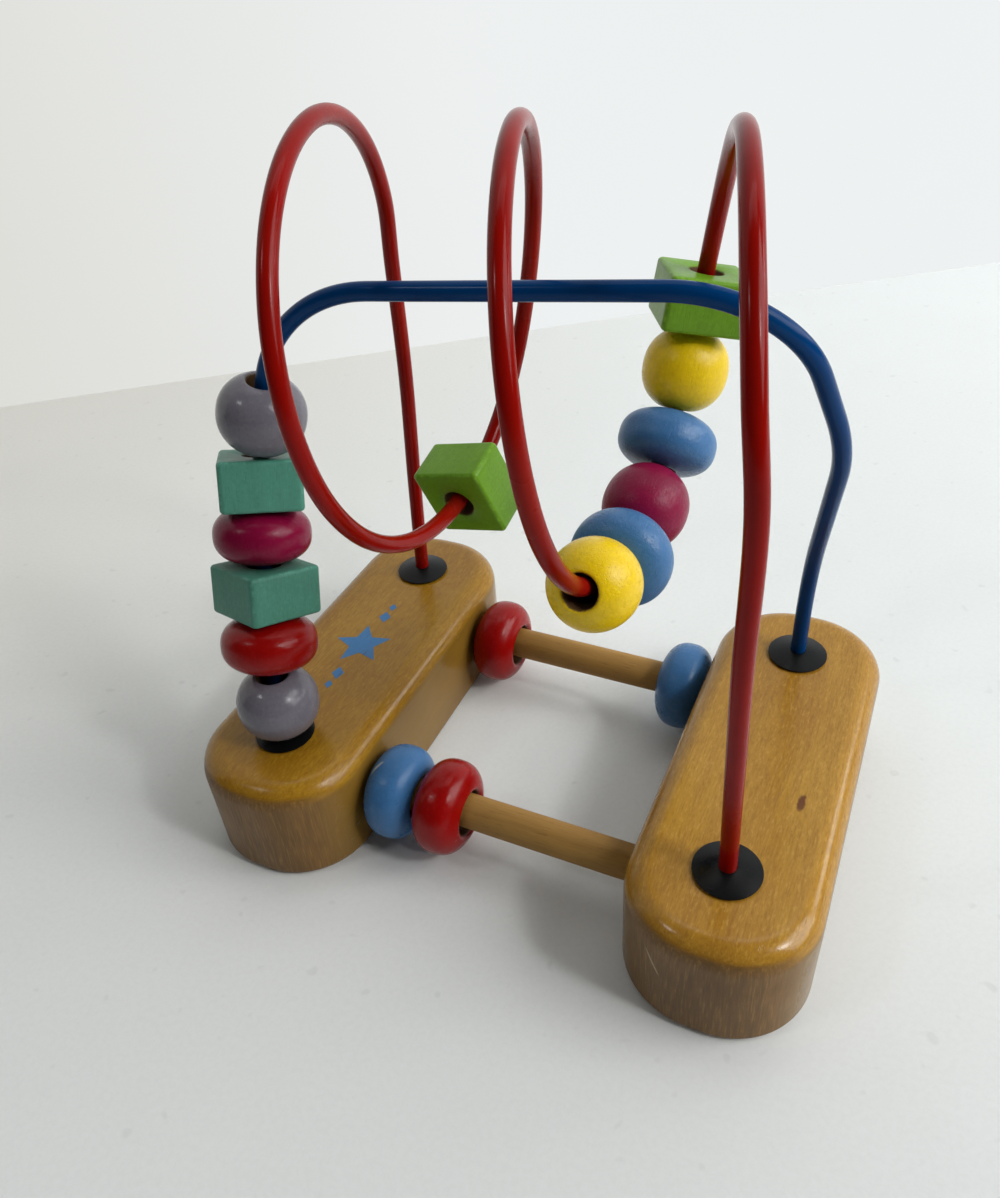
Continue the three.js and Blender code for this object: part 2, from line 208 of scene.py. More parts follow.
def rounded_ring(width, length, corner, height, corner_steps, side_steps):
    """An anticlockwise rounded rectangle with points along its sides as well as its corners."""
    corners = []
    for side in range(4):
        sign_x = 1 if side in (0, 3) else -1
        sign_y = 1 if side < 2 else -1
        arc = []
        for step in range(corner_steps + 1):
            angle = (side + step / corner_steps) * math.pi / 2
            x = sign_x * (width / 2 - corner) + corner * math.cos(angle)
            y = sign_y * (length / 2 - corner) + corner * math.sin(angle)
            arc.append((x, y, height))
        corners.append(arc)
    ring = []
    for side in range(4):
        ring += corners[side]
        start = np.array(corners[side][-1])
        end = np.array(corners[(side + 1) % 4][0])
        ring += [tuple(start + (end - start) * k / side_steps) for k in range(1, side_steps)]
    return ring


def wood_block():
    """A block with rounded upright corners, a broad top round and a small bottom round."""
    levels = [(BLOCK_BOTTOM_ROUND + BLOCK_FLAT_BORDER, 0)]
    levels += quarter_round(BLOCK_BOTTOM_ROUND, BLOCK_ROUND_STEPS)
    top_round = quarter_round(BLOCK_TOP_ROUND, BLOCK_ROUND_STEPS)
    levels += [(inset, BLOCK_HEIGHT - drop) for inset, drop in reversed(top_round)]
    levels.append((BLOCK_TOP_ROUND + BLOCK_FLAT_BORDER, BLOCK_HEIGHT))
    rings = []
    for inset, height in levels:
        inset += BLOCK_INSET
        width = BLOCK_WIDTH - 2 * inset
        length = BLOCK_LENGTH - 2 * inset
        corner = BLOCK_CORNER - inset
        rings.append(rounded_ring(width, length, corner, height, BLOCK_CORNER_STEPS, BLOCK_SIDE_STEPS))
    return skin(rings)


def turned_bead(diameter, thickness, bore, fullness, mouth):
    """A turned bead: a superellipse outside, softened mouths and a straight bore."""
    radius = diameter / 2
    share = 1 - (bore / radius) ** fullness
    reach = thickness / 2 / share ** (1 / fullness)
    lip = math.asin(math.sqrt(1 - ((bore + mouth) / radius) ** fullness))
    profile = []
    for step in range(BEAD_PROFILE_STEPS + 1):
        angle = lip * (2 * step / BEAD_PROFILE_STEPS - 1)
        height = reach * abs(math.sin(angle)) ** (2 / fullness)
        profile.append((radius * math.cos(angle) ** (2 / fullness), math.copysign(height, angle)))
    top = profile[-1][1]
    mouth_round = quarter_round(mouth, BEAD_MOUTH_STEPS)[1:]
    fall = [(bore + inset, top - drop) for inset, drop in mouth_round]
    climb = [(r, -h) for r, h in reversed(fall)]
    return turned(profile + fall + climb, BEAD_SIDES, closed=True)


def square_bead():
    """A square bead with softened edges and a straight bore through its faces."""
    half = SQUARE_THICKNESS / 2
    mouth = BEAD_BORE + SQUARE_MOUTH

    def outline(inset, height):
        side = SQUARE_SIDE - 2 * inset
        corner = SQUARE_CORNER - inset
        return rounded_ring(side, side, corner, height, SQUARE_CORNER_STEPS, SQUARE_SIDE_STEPS)

    def bore_ring(radius, height):
        turns = [math.atan2(y, x) for x, y, _ in outline(0, 0)]
        return [(radius * math.cos(t), radius * math.sin(t), height) for t in turns]

    lower = [outline(inset, rise - half) for inset, rise in quarter_round(SQUARE_EDGE, SQUARE_ROUND_STEPS)]
    upper = [[(x, y, -z) for x, y, z in ring] for ring in reversed(lower)]
    bore = [
        bore_ring(mouth, half),
        bore_ring(BEAD_BORE, half - SQUARE_MOUTH),
        bore_ring(BEAD_BORE, SQUARE_MOUTH - half),
        bore_ring(mouth, -half),
    ]
    return skin(lower + upper + bore, closed=True)


def plug_cap(seats_bead):
    """A shallow domed cap on a stem, with a hole for the wire.

    Where a bead stands on the cap, its dome ends at a lower shoulder under the bead's bore.
    """
    radius = CAP_DIAMETER / 2
    profile = [
        (CAP_BORE, -CAP_STEM_LENGTH),
        (CAP_STEM_RADIUS, -CAP_STEM_LENGTH),
        (CAP_STEM_RADIUS, CAP_SEAT),
        (radius - CAP_EDGE, CAP_SEAT),
        (radius, CAP_SEAT + CAP_EDGE),
    ]
    shoulder = BEAD_BORE if seats_bead else CAP_BORE
    rise = (CAP_SHOULDER if seats_bead else CAP_PEAK) - CAP_RIM
    for step in range(CAP_DOME_STEPS + 1):
        out = 1 - step / CAP_DOME_STEPS
        profile.append((shoulder + (radius - shoulder) * out, CAP_RIM + rise * (1 - out**CAP_FULLNESS)))
    if seats_bead:
        profile.append((CAP_BORE, CAP_PEAK))
    return turned(profile, CAP_SIDES, closed=True)


def dowel(half):
    """A dowel along Z with chamfered ends, from half its length."""
    radius = DOWEL_DIAMETER / 2
    tip = radius - DOWEL_END_CHAMFER
    profile = [(tip, -half), (radius, DOWEL_END_CHAMFER - half)]
    profile += [(radius, half - DOWEL_END_CHAMFER), (tip, half)]
    return turned(profile, DOWEL_SIDES, closed=False)


# Wire routes


def smooth_route(points, steps):
    """A centripetal Catmull-Rom curve through points."""
    points = np.array(points, float)
    padded = np.vstack([2 * points[0] - points[1], points, 2 * points[-1] - points[-2]])
    route = []
    for p0, p1, p2, p3 in zip(padded, padded[1:], padded[2:], padded[3:]):
        gap0, gap1, gap2 = (np.linalg.norm(b - a) ** 0.5 for a, b in ((p0, p1), (p1, p2), (p2, p3)))
        out = ((p1 - p0) / gap0 - (p2 - p0) / (gap0 + gap1) + (p2 - p1) / gap1) * gap1
        into = ((p2 - p1) / gap1 - (p3 - p1) / (gap1 + gap2) + (p3 - p2) / gap2) * gap1
        for t in np.arange(steps) / steps:
            start = (2 * t**3 - 3 * t**2 + 1) * p1 + (t**3 - 2 * t**2 + t) * out
            route.append(start + (3 * t**2 - 2 * t**3) * p2 + (t**3 - t**2) * into)
    route.append(points[-1])
    return np.array(route)


def coil_drift(turn):
    """How far sideways the coil is at a turn counted in half turns."""
    xs = COIL_CROSSINGS
    i = min(int(turn), len(xs) - 2)
    t = turn - i
    before = xs[max(i - 1, 0)]
    after = xs[min(i + 2, len(xs) - 1)]
    leave = (xs[i + 1] - before) / 2
    arrive = (after - xs[i]) / 2
    cubic = 2 * xs[i] - 2 * xs[i + 1] + leave + arrive
    square = -3 * xs[i] + 3 * xs[i + 1] - 2 * leave - arrive
    return ((cubic * t + square) * t + leave) * t + xs[i]


def coil_leg(socket_x, socket_y, coil_end):
    """Points from the bottom of a socket up to an end of the coil, which isn't one of them."""
    foot = np.array([socket_x, socket_y, BLOCK_HEIGHT])
    points = [foot - [0, 0, WIRE_SOCKET_DEPTH], foot]
    for rise, spread in zip(LEG_RISE, LEG_SPREAD):
        point = foot + (coil_end - foot) * rise
        point[1] = foot[1] + (coil_end[1] - foot[1]) * spread
        points.append(point)
    return points


def red_route():
    """Up from the rear left socket, round the coil, and down to the front right one."""
    steps = (len(COIL_CROSSINGS) - 1) * COIL_POINTS_PER_HALF_TURN
    coil = []
    for step in range(steps + 1):
        turn = step / COIL_POINTS_PER_HALF_TURN
        y = COIL_RADIUS * math.cos(turn * math.pi)
        z = COIL_HEIGHT + COIL_RADIUS * math.sin(turn * math.pi)
        coil.append(np.array([coil_drift(turn), y, z]))
    climb = coil_leg(-BLOCK_X, WIRE_Y, coil[0])
    descent = coil_leg(BLOCK_X, -WIRE_Y, coil[-1])
    return smooth_route(climb + coil + descent[::-1], COIL_STEPS)


def bend(corner, run_in, run_out, radius):
    """Points of the arc that rounds a corner between two straight runs."""
    inward = (run_in - corner) / np.linalg.norm(run_in - corner)
    outward = (run_out - corner) / np.linalg.norm(run_out - corner)
    half = math.acos(np.clip(inward @ outward, -1, 1)) / 2
    room = min(np.linalg.norm(run_in - corner), np.linalg.norm(run_out - corner))
    reach = min(radius / math.tan(half), room)
    radius = reach * math.tan(half)
    start = corner + inward * reach
    middle = (inward + outward) / np.linalg.norm(inward + outward)
    centre = corner + middle * radius / math.sin(half)
    sweep = math.pi - 2 * half
    arm = start - centre
    angles = np.linspace(0, sweep, BEND_POINTS)
    return [centre + arm * math.cos(a) - inward * radius * math.sin(a) for a in angles]


def even_route(points, spacing):
    """The same polyline with points at an even spacing."""
    points = np.array(points)
    lengths = np.r_[0, np.cumsum(np.linalg.norm(np.diff(points, axis=0), axis=1))]
    count = int(lengths[-1] / spacing)
    marks = np.linspace(0, lengths[-1], count + 1)
    return np.stack([np.interp(marks, lengths, points[:, axis]) for axis in range(3)], axis=1)


def blue_route():
    """Straight runs with round bends, from the front left socket to the rear right one."""
    left = np.array([-BLOCK_X, -WIRE_Y, BLOCK_HEIGHT])
    right = np.array([BLOCK_X, WIRE_Y, BLOCK_HEIGHT])
    sunk = np.array([0, 0, WIRE_SOCKET_DEPTH])
    corners = [left] + [np.array(at, float) for at, _ in ARCH_CORNERS] + [right]
    points = [left - sunk, left]
    for i, (_, radius) in enumerate(ARCH_CORNERS, start=1):
        run_in = corners[i - 1] if i == 1 else (corners[i - 1] + corners[i]) / 2
        run_out = corners[i + 1] if i == len(ARCH_CORNERS) else (corners[i + 1] + corners[i]) / 2
        points += bend(corners[i], run_in, run_out, radius)
    points += [right, right - sunk]
    return even_route(points, ARCH_SPACING)


def wire(route):
    """A round wire swept along a route without twist."""
    radius = WIRE_DIAMETER / 2 - WIRE_INSET
    turns = [2 * math.pi * i / WIRE_SIDES for i in range(WIRE_SIDES)]
    along = np.gradient(route, axis=0)
    along /= np.linalg.norm(along, axis=1, keepdims=True)
    across = np.cross(along[0], [0, 1, 0])
    across /= np.linalg.norm(across)
    rings = []
    for point, direction in zip(route, along):
        across = across - direction * (across @ direction)
        across /= np.linalg.norm(across)
        other = np.cross(direction, across)
        rings.append([point + radius * (across * math.cos(t) + other * math.sin(t)) for t in turns])
    return skin(rings)


# Colours


def tone(red, green, blue):
    """A colour from screen values of 0 to 255, as the linear values that nodes use."""

    def linear(value):
        value = value / 255
        return value / 12.92 if value <= 0.04045 else ((value + 0.055) / 1.055) ** 2.4

    return (linear(red), linear(green), linear(blue), 1)


def shaded(colour, factor, lift=0.0):
    """A darker or lighter colour."""
    return tuple(min(1.0, value * factor + lift) for value in colour[:3]) + (1,)


HONEY = tone(186, 141, 49)
HONEY_CLOUD = tone(167, 120, 36)
HONEY_BAND = tone(154, 107, 38)
HONEY_FIBRE = tone(134, 88, 28)
HONEY_PORE = tone(96, 60, 20)
HONEY_DARK_FLECK = tone(122, 82, 28)
HONEY_PALE_FLECK = tone(212, 168, 80)
HONEY_RIM = tone(124, 82, 27)
# Painted shade that darkens the left block's top
LEFT_BLOCK_PAINTED_SHADE = tone(235, 233, 178)
# Long sides of the blocks, painted darker than the top as shade
SIDE_WOOD_SHADED = tone(136, 102, 37)
SIDE_CLOUD_SHADED = tone(123, 90, 30)
SIDE_FIBRE_SHADED = tone(108, 77, 34)
END_WOOD = tone(138, 100, 46)
END_CLOUD = tone(118, 84, 37)
END_BAND = tone(97, 67, 28)
END_DARK_FIBRE = tone(76, 52, 24)
END_SMUDGE = tone(82, 60, 30)
END_PALE_FIBRE = tone(164, 126, 66)
KNOT_BROWN = tone(88, 38, 8)
SCRATCHED_WOOD = tone(196, 178, 146)

DOWEL_WOOD = tone(174, 134, 70)
DOWEL_BAND = tone(158, 118, 58)
DOWEL_FIBRE = tone(138, 99, 48)
DOWEL_PORE = tone(120, 84, 48)
DOWEL_SMUDGE = tone(130, 100, 66)

LAVENDER = tone(112, 109, 118)
RED = tone(146, 3, 1)
TEAL = tone(80, 143, 123)
MAGENTA = tone(128, 3, 52)
# Magenta for the round bead, lighter than the flat bead's as a painted sheen
MAGENTA_WITH_PAINTED_SHEEN = tone(142, 14, 62)
GREEN = tone(110, 160, 30)
YELLOW = tone(242, 204, 12)
BLUE = tone(64, 114, 164)
SCRATCHED_PAINT = tone(200, 206, 196)
BORE_WOOD = tone(106, 76, 40)
BORE_FIBRE = tone(56, 38, 20)

RED_COAT = tone(138, 10, 3)
RED_COAT_RUBBED = tone(168, 52, 32)
BLUE_COAT = tone(0, 58, 112)
BLUE_COAT_RUBBED = tone(12, 86, 142)
# Painted shade for the wire where it runs between the stacked beads
WIRE_PAINTED_SHADE = tone(8, 11, 15)
CAP_BLACK = tone(7, 8, 9)
CAP_SMUDGE = tone(14, 15, 16)
CAP_SCUFF = tone(60, 60, 62)
INK = tone(54, 124, 182)
INK_SMUDGE = tone(42, 98, 150)

# Table whites: painted warm and cool light, and painted shade near the front
TABLE_WHITE_WARM_LIGHT = tone(236, 235, 230)
TABLE_WHITE_COOL_LIGHT = tone(237, 241, 240)
TABLE_NEAR_PAINTED_SHADE = tone(228, 230, 229)
TABLE_PAPER = tone(150, 151, 150)
TABLE_SPECK = tone(120, 120, 118)
# Wall whites: darker and warmer at the left as painted shade
WALL_WHITE_PAINTED_SHADE = tone(221, 221, 215)
WALL_WHITE_LIT = tone(239, 242, 242)
WHITE_SMUDGE = tone(120, 122, 122)


# Node groups


class Nodes:
    """Short words for the nodes of one tree."""

    def __init__(self, tree):
        self.tree = tree

    def add(self, kind, **settings):
        node = self.tree.nodes.new(kind)
        for name, value in settings.items():
            setattr(node, name, value)
        return node

    def feed(self, socket, value):
        if isinstance(value, bpy.types.NodeSocket):
            self.tree.links.new(value, socket)
        else:
            socket.default_value = value

    def math(self, operation, a, b=0.0):
        node = self.add("ShaderNodeMath", operation=operation)
        self.feed(node.inputs[0], a)
        self.feed(node.inputs[1], b)
        return node.outputs[0]

    def vector(self, operation, a, b=(0, 0, 0)):
        node = self.add("ShaderNodeVectorMath", operation=operation)
        self.feed(node.inputs[0], a)
        self.feed(node.inputs[1], b)
        return node.outputs["Value"] if operation == "LENGTH" else node.outputs[0]

    def parts(self, vector):
        node = self.add("ShaderNodeSeparateXYZ")
        self.feed(node.inputs[0], vector)
        return node.outputs

    def mapped(self, vector, scale=(1, 1, 1), turn=(0, 0, 0)):
        node = self.add("ShaderNodeMapping")
        self.feed(node.inputs["Vector"], vector)
        node.inputs["Rotation"].default_value = turn
        node.inputs["Scale"].default_value = scale
        return node.outputs[0]

    def noise(self, vector, scale, detail=2.0, roughness=0.5):
        node = self.add("ShaderNodeTexNoise")
        self.feed(node.inputs["Vector"], vector)
        self.feed(node.inputs["Scale"], scale)
        node.inputs["Detail"].default_value = detail
        node.inputs["Roughness"].default_value = roughness
        return node.outputs["Fac"]

    def span(self, value, low, high):
        """A mask that grows smoothly from 0 at one value to 1 at another."""
        node = self.add("ShaderNodeMapRange", interpolation_type="SMOOTHSTEP")
        self.feed(node.inputs["Value"], value)
        node.inputs["From Min"].default_value = low
        node.inputs["From Max"].default_value = high
        return node.outputs[0]

    def more(self, value, mask, amount):
        """A value with an amount added where a mask is."""
        return self.math("ADD", value, self.math("MULTIPLY", mask, amount))

    def blend(self, factor, a, b, blend_type="MIX"):
        node = self.add("ShaderNodeMix", data_type="RGBA", blend_type=blend_type)
        self.feed(node.inputs["Factor"], factor)
        self.feed(node.inputs[6], a)
        self.feed(node.inputs[7], b)
        return node.outputs[2]

    def tint(self, base, colour, mask, amount):
        """A base with an amount of another colour where a mask is."""
        return self.blend(self.math("MULTIPLY", mask, amount), base, colour)

    def group(self, group, **values):
        node = self.add("ShaderNodeGroup", node_tree=group)
        for name, value in values.items():
            self.feed(node.inputs[name], value)
        return node.outputs

    def bump(self, height, strength, distance):
        node = self.add("ShaderNodeBump")
        node.inputs["Strength"].default_value = strength
        node.inputs["Distance"].default_value = distance
        self.feed(node.inputs["Height"], height)
        return node.outputs[0]

    def mix_shaders(self, factor, a, b):
        node = self.add("ShaderNodeMixShader")
        for socket, value in zip(node.inputs, (factor, a, b)):
            self.feed(socket, value)
        return node.outputs[0]


def new_group(name, inputs, outputs):
    """An empty node group with its named sockets, and the words to fill it."""
    tree = bpy.data.node_groups.new(name, "ShaderNodeTree")
    for socket, kind in inputs.items():
        tree.interface.new_socket(socket, in_out="INPUT", socket_type=kind)
    for socket in outputs:
        tree.interface.new_socket(socket, in_out="OUTPUT", socket_type="NodeSocketFloat")
    nodes = Nodes(tree)
    entry = nodes.add("NodeGroupInput").outputs
    leave = nodes.add("NodeGroupOutput").inputs
    return tree, nodes, entry, leave


def make_wood_figure():
    """Wood with its grain along Y: soft clouds, broad bands, fine fibres, short dark pores and flecks."""
    tree, nodes, entry, leave = new_group(
        "wood_figure",
        {"Vector": "NodeSocketVector"},
        ["Clouds", "Bands", "Fibres", "Pores", "Flecks"],
    )
    sway = nodes.noise(nodes.mapped(entry["Vector"], (60, 9, 60)), 1, detail=1)
    bent = nodes.vector("ADD", entry["Vector"], nodes.vector("MULTIPLY", sway, (0.006, 0, 0)))
    clouds = nodes.noise(nodes.mapped(bent, (34, 14, 34)), 1, detail=3, roughness=0.6)
    bands = nodes.noise(nodes.mapped(bent, (260, 7, 200)), 1, detail=3, roughness=0.55)
    fibres = nodes.noise(nodes.mapped(bent, (2100, 120, 2100)), 1, detail=4, roughness=0.62)
    pores = nodes.noise(nodes.mapped(bent, (2300, 260, 2300)), 1, detail=2)
    flecks = nodes.noise(nodes.mapped(bent, (1700, 480, 1700)), 1, detail=3, roughness=0.65)
    nodes.feed(leave["Clouds"], nodes.span(clouds, 0.3, 0.7))
    nodes.feed(leave["Bands"], nodes.span(bands, 0.32, 0.68))
    nodes.feed(leave["Fibres"], fibres)
    nodes.feed(leave["Pores"], nodes.span(pores, 0.60, 0.72))
    nodes.feed(leave["Flecks"], flecks)
    return tree


def make_handling():
    """Marks of use: soft smudges, thin scuffs and small specks."""
    tree, nodes, entry, leave = new_group(
        "handling",
        {"Vector": "NodeSocketVector", "Scale": "NodeSocketFloat"},
        ["Smudge", "Scuff", "Specks"],
    )
    scale = entry["Scale"]
    smudge = nodes.noise(entry["Vector"], scale, detail=3, roughness=0.6)
    nodes.feed(leave["Smudge"], nodes.span(smudge, 0.3, 0.72))
    streak = nodes.mapped(entry["Vector"], (1, 0.09, 1), turn=(0.4, 0.9, 0.6))
    lines = nodes.noise(streak, nodes.math("MULTIPLY", scale, 22), detail=1)
    patch = nodes.noise(entry["Vector"], nodes.math("MULTIPLY", scale, 1.7), detail=1)
    thin = nodes.math("MULTIPLY", nodes.span(lines, 0.70, 0.76), nodes.span(patch, 0.52, 0.66))
    nodes.feed(leave["Scuff"], thin)
    specks = nodes.noise(entry["Vector"], nodes.math("MULTIPLY", scale, 30), detail=1)
    nodes.feed(leave["Specks"], nodes.span(specks, 0.70, 0.78))
    return tree


def make_spot():
    """A soft, ragged spot round a place."""
    tree, nodes, entry, leave = new_group(
        "spot",
        {"Vector": "NodeSocketVector", "Centre": "NodeSocketVector", "Reach": "NodeSocketVector"},
        ["Mask"],
    )
    offset = nodes.vector("SUBTRACT", entry["Vector"], entry["Centre"])
    far = nodes.vector("LENGTH", nodes.vector("DIVIDE", offset, entry["Reach"]))
    ragged = nodes.math("SUBTRACT", nodes.noise(entry["Vector"], 900, detail=2), 0.5)
    nodes.feed(leave["Mask"], nodes.span(nodes.more(far, ragged, 0.9), 1.1, 0.55))
    return tree


def make_bore_wall():
    """Where a bead's bore is, from its own axis along Z."""
    tree, nodes, entry, leave = new_group(
        "bore_wall",
        {"Vector": "NodeSocketVector", "Radius": "NodeSocketFloat"},
        ["Mask"],
    )
    radius = nodes.vector("LENGTH", nodes.vector("MULTIPLY", entry["Vector"], (1, 1, 0)))
    over = nodes.math("SUBTRACT", radius, entry["Radius"])
    ragged = nodes.more(over, nodes.noise(entry["Vector"], 1500, detail=2), -0.0005)
    nodes.feed(leave["Mask"], nodes.span(ragged, 0.0003, -0.0002))
    return tree


def make_square_edge_wear_and_highlight():
    """Lighter spots along the edges of a square bead, from its own middle: worn paint, and a painted highlight
    where the edges catch the light.
    """
    tree, nodes, entry, leave = new_group("square_edge_wear_and_highlight", {"Vector": "NodeSocketVector"}, ["Mask"])
    half = (SQUARE_SIDE * MM / 2, SQUARE_SIDE * MM / 2, SQUARE_THICKNESS * MM / 2)
    shares = nodes.parts(nodes.vector("DIVIDE", entry["Vector"], half))
    near = [nodes.span(nodes.math("ABSOLUTE", share), 0.90, 0.98) for share in shares]
    pairs = [nodes.math("MULTIPLY", near[a], near[b]) for a, b in ((0, 1), (1, 2), (2, 0))]
    edge = nodes.math("MAXIMUM", nodes.math("MAXIMUM", pairs[0], pairs[1]), pairs[2])
    # These spots stand for wear and for a painted highlight along the edges.
    worn = nodes.span(nodes.noise(entry["Vector"], 420, detail=4, roughness=0.7), 0.46, 0.62)
    nodes.feed(leave["Mask"], nodes.math("MULTIPLY", edge, worn))
    return tree


wood_figure = make_wood_figure()
handling = make_handling()
spot = make_spot()
bore_wall = make_bore_wall()
square_edge_wear_and_highlight = make_square_edge_wear_and_highlight()


def scratch_mask(nodes, place, ends):
    """A thin line between two ends."""
    start, end = (Vector(point) * MM for point in ends)
    turn = (end - start).rotation_difference(Vector((0, 1, 0)))
    along_y = nodes.mapped(place, turn=turn.to_euler())
    half_length = (end - start).length * SCRATCH_OVERRUN / 2
    reach = (SCRATCH_WIDTH * MM, half_length, SCRATCH_DEPTH * MM)
    return nodes.group(spot, Vector=along_y, Centre=turn @ ((start + end) / 2), Reach=reach)["Mask"]


# Finishes

# Turns that lay the wood's grain, which runs along Y, along another axis
GRAIN_ALONG_X = (0, 0, math.pi / 2)
GRAIN_ALONG_Z = (math.pi / 2, 0, 0)


def new_finish(name):
    """A new material, the words to fill it, and its shader's inputs."""
    material = bpy.data.materials.new(name)
    material.use_nodes = True
    shader = material.node_tree.nodes["Principled BSDF"]
    return material, Nodes(material.node_tree), shader.inputs


def honey_top(nodes, figure, rim):
    """Fine straight grain in honey colours, deeper on the rim."""
    colour = nodes.blend(figure["Clouds"], HONEY, HONEY_CLOUD)
    colour = nodes.tint(colour, HONEY_BAND, figure["Bands"], 0.40)
    colour = nodes.tint(colour, HONEY_FIBRE, nodes.span(figure["Fibres"], 0.40, 0.72), 0.36)
    colour = nodes.tint(colour, HONEY_PORE, figure["Pores"], 0.18)
    colour = nodes.tint(colour, HONEY_DARK_FLECK, nodes.span(figure["Flecks"], 0.52, 0.70), 0.34)
    colour = nodes.tint(colour, HONEY_PALE_FLECK, nodes.span(figure["Flecks"], 0.48, 0.30), 0.34)
    return nodes.tint(colour, HONEY_RIM, rim, 0.5)


def shaded_side(nodes, figure):
    """Long sides with faint fibres, painted darker than the top as shade."""
    colour = nodes.blend(figure["Clouds"], SIDE_WOOD_SHADED, SIDE_CLOUD_SHADED)
    return nodes.tint(colour, SIDE_FIBRE_SHADED, nodes.span(figure["Fibres"], 0.42, 0.72), 0.25)


def end_grain(nodes, figure, smudge):
    """Brown, streaked and smudged end faces."""
    colour = nodes.blend(figure["Clouds"], END_WOOD, END_CLOUD)
    colour = nodes.tint(colour, END_BAND, figure["Bands"], 0.34)
    colour = nodes.tint(colour, END_DARK_FIBRE, nodes.span(figure["Fibres"], 0.42, 0.70), 0.42)
    colour = nodes.tint(colour, END_SMUDGE, smudge, 0.26)
    return nodes.tint(colour, END_PALE_FIBRE, nodes.span(figure["Fibres"], 0.48, 0.30), 0.45)


def lacquered_wood():
    """Satin lacquer on the blocks, with a knot and a scratch; the left block's top is painted darker as shade.
    """
    material, nodes, shader = new_finish("lacquered_wood")
    coordinates = nodes.add("ShaderNodeTexCoord").outputs
    place = coordinates["Object"]
    figure = nodes.group(wood_figure, Vector=place)
    end_figure = nodes.group(wood_figure, Vector=nodes.mapped(place, turn=GRAIN_ALONG_Z))
    marks = nodes.group(handling, Vector=place, Scale=38.0)
    knot = nodes.group(spot, Vector=place, Centre=KNOT_CENTRE, Reach=KNOT_REACH)["Mask"]
    scratch = scratch_mask(nodes, place, BLOCK_SCRATCH)
    facing = nodes.parts(coordinates["Normal"])
    ends = nodes.span(nodes.math("ABSOLUTE", facing["Y"]), 0.35, 0.80)
    end_side = nodes.math("MULTIPLY", nodes.span(facing["Z"], 0.68, 0.44), ends)
    side = nodes.math("MAXIMUM", nodes.span(facing["Z"], 0.42, 0.12), end_side)
    rim = nodes.math("MULTIPLY", nodes.span(facing["Z"], 0.80, 0.42), ends)
    left_block_shade_mask = nodes.span(nodes.parts(place)["X"], 0.01, -0.01)

    # The left block's top is painted darker, as shade.
    top = nodes.blend(left_block_shade_mask, honey_top(nodes, figure, rim), LEFT_BLOCK_PAINTED_SHADE, "MULTIPLY")
    # The long sides are painted darker than the top as shade; the ends are brown end grain.
    sides = nodes.blend(ends, shaded_side(nodes, figure), end_grain(nodes, end_figure, marks["Smudge"]))
    colour = nodes.blend(side, top, sides)
    colour = nodes.tint(colour, KNOT_BROWN, knot, 0.9)
    colour = nodes.tint(colour, SCRATCHED_WOOD, scratch, 0.6)
    nodes.feed(shader["Base Color"], colour)
    rough = nodes.more(0.15, marks["Smudge"], 0.12)
    rough = nodes.more(rough, nodes.math("MULTIPLY", side, ends), 0.25)
    rough = nodes.more(rough, marks["Scuff"], 0.12)
    nodes.feed(shader["Roughness"], rough)
    height = nodes.math("MULTIPLY", nodes.noise(place, 140, detail=2), 3.0)
    height = nodes.more(height, figure["Flecks"], 0.6)
    height = nodes.more(height, figure["Pores"], -0.5)
    height = nodes.more(height, marks["Scuff"], -0.5)
    nodes.feed(shader["Normal"], nodes.bump(height, strength=0.28, distance=0.00015))
    shader["Specular IOR Level"].default_value = 0.36
    return material


def bare_wood():
    """Pale unlacquered dowels with their grain along the length."""
    material, nodes, shader = new_finish("bare_wood")
    place = nodes.add("ShaderNodeTexCoord").outputs["Object"]
    figure = nodes.group(wood_figure, Vector=nodes.mapped(place, turn=GRAIN_ALONG_X))
    marks = nodes.group(handling, Vector=place, Scale=60.0)
    colour = nodes.blend(figure["Bands"], DOWEL_WOOD, DOWEL_BAND)
    colour = nodes.tint(colour, DOWEL_FIBRE, nodes.span(figure["Fibres"], 0.35, 0.7), 0.30)
    colour = nodes.tint(colour, DOWEL_PORE, figure["Pores"], 0.4)
    colour = nodes.tint(colour, DOWEL_SMUDGE, marks["Smudge"], 0.12)
    nodes.feed(shader["Base Color"], colour)
    nodes.feed(shader["Roughness"], nodes.more(0.52, marks["Smudge"], 0.14))
    height = nodes.math("SUBTRACT", figure["Fibres"], figure["Pores"])
    nodes.feed(shader["Normal"], nodes.bump(height, strength=0.35, distance=0.00014))
    shader["Specular IOR Level"].default_value = 0.25
    return material


